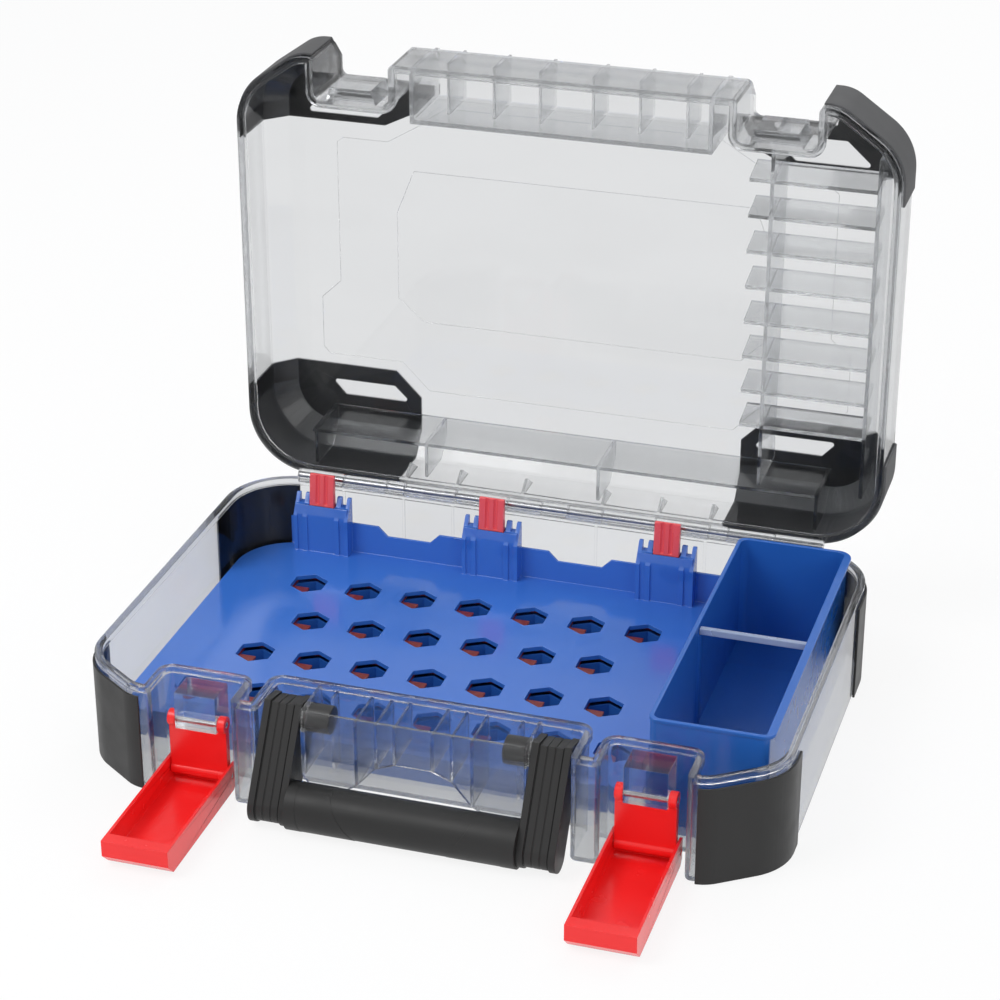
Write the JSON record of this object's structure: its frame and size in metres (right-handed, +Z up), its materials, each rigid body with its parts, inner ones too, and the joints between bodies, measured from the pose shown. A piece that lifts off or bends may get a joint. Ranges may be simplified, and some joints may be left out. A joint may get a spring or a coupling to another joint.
{
  "type": "saw blade storage case",
  "caption": "Clear hinged storage case with a hexagon-hole insert, a small parts bin, a slotted lid rack, lever latches and a folding handle.",
  "frame": {"origin": "on the base's flat underside, midway between the front wall and the hinge axis, in the middle of the width", "axes": "+Z up, -Y the front with the latches and the handle, +X the right side as seen from the front; at rest the lid stands open at 90 degrees"},
  "size_m": [0.3624, 0.3662, 0.3052],
  "materials": {
    "clear_plastic": "clear, glossy, injection moulded",
    "black_rubber": "fine matt soft-touch",
    "handle_plastic": "moulded",
    "tray_blue": "glossy, moulded",
    "bin_blue": "glossy, moulded",
    "pale_plastic": "translucent, moulded",
    "latch_red": "glossy, moulded",
    "tab_red": "glossy, moulded",
    "steel": "drawn wire"
  },
  "bodies": {
    "base": {"base_shell": "clear_plastic", "hinge_pin": "steel", "bumper_base_front_left": "black_rubber", "bumper_base_front_right": "black_rubber", "bumper_base_rear_left": "black_rubber", "bumper_base_rear_right": "black_rubber", "latch_rod_left": "steel", "latch_rod_right": "steel", "hole_tray": "tray_blue", "bin": "bin_blue", "bin_divider": "pale_plastic", "tab_spring_left": "steel", "tab_spring_centre": "steel", "tab_spring_right": "steel"},
    "lid": {"lid_shell": "clear_plastic", "bumper_lid_front_left": "black_rubber", "bumper_lid_front_right": "black_rubber", "bumper_lid_rear_left": "black_rubber", "bumper_lid_rear_right": "black_rubber", "lid_shelf": "clear_plastic", "blade_rack": "clear_plastic"},
    "handle": {"handle_core": "handle_plastic", "grip_sleeve": "black_rubber", "arm_sleeve_left": "black_rubber", "arm_sleeve_right": "black_rubber"},
    "link_left": {"latch_link_left": "latch_red"},
    "link_right": {"latch_link_right": "latch_red"},
    "lever_left": {"latch_lever_left": "latch_red", "latch_pivot_pin_left": "steel"},
    "lever_right": {"latch_lever_right": "latch_red", "latch_pivot_pin_right": "steel"},
    "tab_left": {"release_tab_left": "tab_red"},
    "tab_centre": {"release_tab_centre": "tab_red"},
    "tab_right": {"release_tab_right": "tab_red"},
    "plate": {"lock_plate": "tab_red"}
  },
  "joints": [
    {"name": "lid_hinge", "type": "hinge", "parent": "base", "child": "lid", "pos_m": [0, 0.123, 0.058], "axis": [1, 0, 0], "range_deg": [0, 90]},
    {"name": "handle_swing", "type": "hinge", "parent": "base", "child": "handle", "pos_m": [0, -0.1105, 0.0495], "axis": [-1, 0, 0], "range_deg": [0, 58]},
    {"name": "link_left_swing", "type": "hinge", "parent": "base", "child": "link_left", "pos_m": [-0.11465, -0.113, 0.038], "axis": [-1, 0, 0], "range_deg": [0, 4]},
    {"name": "lever_left_swing", "type": "hinge", "parent": "link_left", "child": "lever_left", "pos_m": [-0.11465, -0.113, 0.009], "axis": [-1, 0, 0], "range_deg": [0, 90]},
    {"name": "link_right_swing", "type": "hinge", "parent": "base", "child": "link_right", "pos_m": [0.11465, -0.113, 0.038], "axis": [-1, 0, 0], "range_deg": [0, 4]},
    {"name": "lever_right_swing", "type": "hinge", "parent": "link_right", "child": "lever_right", "pos_m": [0.11465, -0.113, 0.009], "axis": [-1, 0, 0], "range_deg": [0, 90]},
    {"name": "tab_centre_press", "type": "slide", "parent": "base", "child": "tab_centre", "axis": [0, 0, -1], "range_m": [0, 0.003], "stiffness_N_per_m": 250, "springref_m": -0.003, "deforming": ["tab_spring_centre"]},
    {"name": "tab_left_press", "type": "slide", "parent": "base", "child": "tab_left", "axis": [0, 0, -1], "range_m": [0, 0.003], "stiffness_N_per_m": 250, "springref_m": -0.003, "deforming": ["tab_spring_left"]},
    {"name": "tab_right_press", "type": "slide", "parent": "base", "child": "tab_right", "axis": [0, 0, -1], "range_m": [0, 0.003], "stiffness_N_per_m": 250, "springref_m": -0.003, "deforming": ["tab_spring_right"]},
    {"name": "plate_slide", "type": "slide", "parent": "base", "child": "plate", "axis": [0, -1, 0], "range_m": [0, 0.003]}
  ],
  "couplings": [
    {"joint": "tab_left_press", "follows": "tab_centre_press", "ratio": 1},
    {"joint": "tab_right_press", "follows": "tab_centre_press", "ratio": 1},
    {"joint": "plate_slide", "follows": "tab_centre_press", "ratio": 1}
  ]
}
